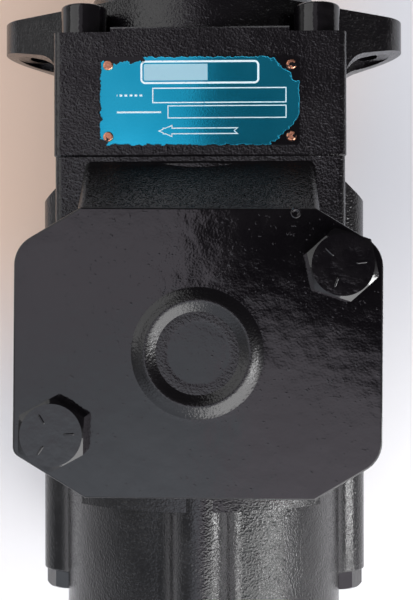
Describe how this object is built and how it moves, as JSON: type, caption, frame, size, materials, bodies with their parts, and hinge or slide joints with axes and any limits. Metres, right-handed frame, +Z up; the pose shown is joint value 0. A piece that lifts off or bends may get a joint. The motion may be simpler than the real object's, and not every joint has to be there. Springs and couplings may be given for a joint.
{
  "type": "hydraulic vane pump",
  "caption": "Double hydraulic vane pump with a two-ear pilot flange, keyed shaft, square front cap, capped suction port on top and round rear cap.",
  "frame": {"origin": "centre of the mounting face on the shaft axis", "axes": "+Y along the shaft towards its free end, +Z up towards the suction port, +X to the right seen from above with the shaft pointing away"},
  "size_m": [0.182, 0.3352, 0.1809],
  "materials": {
    "black_paint": "gloss black enamel over rough casting",
    "painted_fastener": "gloss black enamel, worn at the edges",
    "seal_rubber": "smooth",
    "gasket_fibre": "matt",
    "nameplate_blue": "printed sheet metal",
    "rivet_copper": "polished copper",
    "ground_steel": "ground",
    "bearing_steel": "polished",
    "bronze": "turned",
    "dark_steel": "blackened",
    "cartridge_iron": "machined",
    "vane_steel": "ground"
  },
  "bodies": {
    "pump_body": {"mounting_cap": "black_paint", "pump_housing": "black_paint", "end_cap": "black_paint", "mounting_cap_screws": "painted_fastener", "end_cap_bolts": "painted_fastener", "mounting_cap_o_ring": "seal_rubber", "end_cap_o_ring": "seal_rubber", "suction_cover_plate": "black_paint", "suction_cover_gasket": "gasket_fibre", "suction_cover_bolts": "painted_fastener", "nameplate": "nameplate_blue", "nameplate_rivets": "rivet_copper", "shaft_seal": "seal_rubber", "bearing_outer_ring": "bearing_steel", "bearing_housing_circlip": "dark_steel", "p1_pressure_plate": "cartridge_iron", "p1_pressure_bushing": "bronze", "p1_hub_o_ring": "seal_rubber", "p1_cam_ring": "cartridge_iron", "p1_port_plate": "cartridge_iron", "p1_port_bushing": "bronze", "p1_cartridge_screws": "dark_steel", "p1_dowel_pins": "dark_steel", "p2_pressure_plate": "cartridge_iron", "p2_pressure_bushing": "bronze", "p2_hub_o_ring": "seal_rubber", "p2_cam_ring": "cartridge_iron", "p2_port_plate": "cartridge_iron", "p2_port_bushing": "bronze", "p2_cartridge_screws": "dark_steel", "p2_dowel_pins": "dark_steel"},
    "shaft_assembly": {"drive_shaft": "ground_steel", "shaft_key": "ground_steel", "bearing_inner_ring": "bearing_steel", "bearing_shaft_circlip": "dark_steel", "p1_rotor": "ground_steel", "p2_rotor": "ground_steel"},
    "bearing_cage_set": {"bearing_cage": "bronze", "bearing_balls": "bearing_steel"},
    "p1_vane_01": {"p1_vane_01": "vane_steel"},
    "p1_vane_02": {"p1_vane_02": "vane_steel"},
    "p1_vane_03": {"p1_vane_03": "vane_steel"},
    "p1_vane_04": {"p1_vane_04": "vane_steel"},
    "p1_vane_05": {"p1_vane_05": "vane_steel"},
    "p1_vane_06": {"p1_vane_06": "vane_steel"},
    "p1_vane_07": {"p1_vane_07": "vane_steel"},
    "p1_vane_08": {"p1_vane_08": "vane_steel"},
    "p1_vane_09": {"p1_vane_09": "vane_steel"},
    "p1_vane_10": {"p1_vane_10": "vane_steel"},
    "p2_vane_01": {"p2_vane_01": "vane_steel"},
    "p2_vane_02": {"p2_vane_02": "vane_steel"},
    "p2_vane_03": {"p2_vane_03": "vane_steel"},
    "p2_vane_04": {"p2_vane_04": "vane_steel"},
    "p2_vane_05": {"p2_vane_05": "vane_steel"},
    "p2_vane_06": {"p2_vane_06": "vane_steel"},
    "p2_vane_07": {"p2_vane_07": "vane_steel"},
    "p2_vane_08": {"p2_vane_08": "vane_steel"},
    "p2_vane_09": {"p2_vane_09": "vane_steel"},
    "p2_vane_10": {"p2_vane_10": "vane_steel"}
  },
  "joints": [
    {"name": "shaft_spin", "type": "hinge", "parent": "pump_body", "child": "shaft_assembly", "pos_m": [0, 0, 0], "axis": [0, 1, 0], "continuous": true},
    {"name": "bearing_cage_spin", "type": "hinge", "parent": "pump_body", "child": "bearing_cage_set", "pos_m": [0, 0, 0], "axis": [0, 1, 0], "continuous": true},
    {"name": "p1_vane_01_slide", "type": "slide", "parent": "shaft_assembly", "child": "p1_vane_01", "axis": [1, 0, 0], "range_m": [0, 0.0062]},
    {"name": "p1_vane_02_slide", "type": "slide", "parent": "shaft_assembly", "child": "p1_vane_02", "axis": [0.809, 0, 0.5878], "range_m": [0, 0.00423]},
    {"name": "p1_vane_03_slide", "type": "slide", "parent": "shaft_assembly", "child": "p1_vane_03", "axis": [0.309, 0, 0.9511], "range_m": [0, 0.00104]},
    {"name": "p1_vane_04_slide", "type": "slide", "parent": "shaft_assembly", "child": "p1_vane_04", "axis": [-0.309, 0, 0.9511], "range_m": [0, 0.00104]},
    {"name": "p1_vane_05_slide", "type": "slide", "parent": "shaft_assembly", "child": "p1_vane_05", "axis": [-0.809, 0, 0.5878], "range_m": [0, 0.00423]},
    {"name": "p1_vane_06_slide", "type": "slide", "parent": "shaft_assembly", "child": "p1_vane_06", "axis": [-1, 0, 0], "range_m": [0, 0.0062]},
    {"name": "p1_vane_07_slide", "type": "slide", "parent": "shaft_assembly", "child": "p1_vane_07", "axis": [-0.809, 0, -0.5878], "range_m": [0, 0.00423]},
    {"name": "p1_vane_08_slide", "type": "slide", "parent": "shaft_assembly", "child": "p1_vane_08", "axis": [-0.309, 0, -0.9511], "range_m": [0, 0.00104]},
    {"name": "p1_vane_09_slide", "type": "slide", "parent": "shaft_assembly", "child": "p1_vane_09", "axis": [0.309, 0, -0.9511], "range_m": [0, 0.00104]},
    {"name": "p1_vane_10_slide", "type": "slide", "parent": "shaft_assembly", "child": "p1_vane_10", "axis": [0.809, 0, -0.5878], "range_m": [0, 0.00423]},
    {"name": "p2_vane_01_slide", "type": "slide", "parent": "shaft_assembly", "child": "p2_vane_01", "axis": [-1, 0, 0], "range_m": [0, 0.0025]},
    {"name": "p2_vane_02_slide", "type": "slide", "parent": "shaft_assembly", "child": "p2_vane_02", "axis": [-0.809, 0, 0.5878], "range_m": [0, 0.00181]},
    {"name": "p2_vane_03_slide", "type": "slide", "parent": "shaft_assembly", "child": "p2_vane_03", "axis": [-0.309, 0, 0.9511], "range_m": [0, 0.000691]},
    {"name": "p2_vane_04_slide", "type": "slide", "parent": "shaft_assembly", "child": "p2_vane_04", "axis": [0.309, 0, 0.9511], "range_m": [0, 0.000691]},
    {"name": "p2_vane_05_slide", "type": "slide", "parent": "shaft_assembly", "child": "p2_vane_05", "axis": [0.809, 0, 0.5878], "range_m": [0, 0.00181]},
    {"name": "p2_vane_06_slide", "type": "slide", "parent": "shaft_assembly", "child": "p2_vane_06", "axis": [1, 0, 0], "range_m": [0, 0.0025]},
    {"name": "p2_vane_07_slide", "type": "slide", "parent": "shaft_assembly", "child": "p2_vane_07", "axis": [0.809, 0, -0.5878], "range_m": [0, 0.00181]},
    {"name": "p2_vane_08_slide", "type": "slide", "parent": "shaft_assembly", "child": "p2_vane_08", "axis": [0.309, 0, -0.9511], "range_m": [0, 0.000691]},
    {"name": "p2_vane_09_slide", "type": "slide", "parent": "shaft_assembly", "child": "p2_vane_09", "axis": [-0.309, 0, -0.9511], "range_m": [0, 0.000691]},
    {"name": "p2_vane_10_slide", "type": "slide", "parent": "shaft_assembly", "child": "p2_vane_10", "axis": [-0.809, 0, -0.5878], "range_m": [0, 0.00181]}
  ],
  "couplings": [
    {"joint": "bearing_cage_spin", "follows": "shaft_spin", "ratio": 0.39652},
    {"joint": "p1_vane_06_slide", "follows": "p1_vane_01_slide", "ratio": 1},
    {"joint": "p1_vane_07_slide", "follows": "p1_vane_02_slide", "ratio": 1},
    {"joint": "p1_vane_08_slide", "follows": "p1_vane_03_slide", "ratio": 1},
    {"joint": "p1_vane_09_slide", "follows": "p1_vane_04_slide", "ratio": 1},
    {"joint": "p1_vane_10_slide", "follows": "p1_vane_05_slide", "ratio": 1},
    {"joint": "p2_vane_06_slide", "follows": "p2_vane_01_slide", "ratio": 1},
    {"joint": "p2_vane_07_slide", "follows": "p2_vane_02_slide", "ratio": 1},
    {"joint": "p2_vane_08_slide", "follows": "p2_vane_03_slide", "ratio": 1},
    {"joint": "p2_vane_09_slide", "follows": "p2_vane_04_slide", "ratio": 1},
    {"joint": "p2_vane_10_slide", "follows": "p2_vane_05_slide", "ratio": 1}
  ]
}
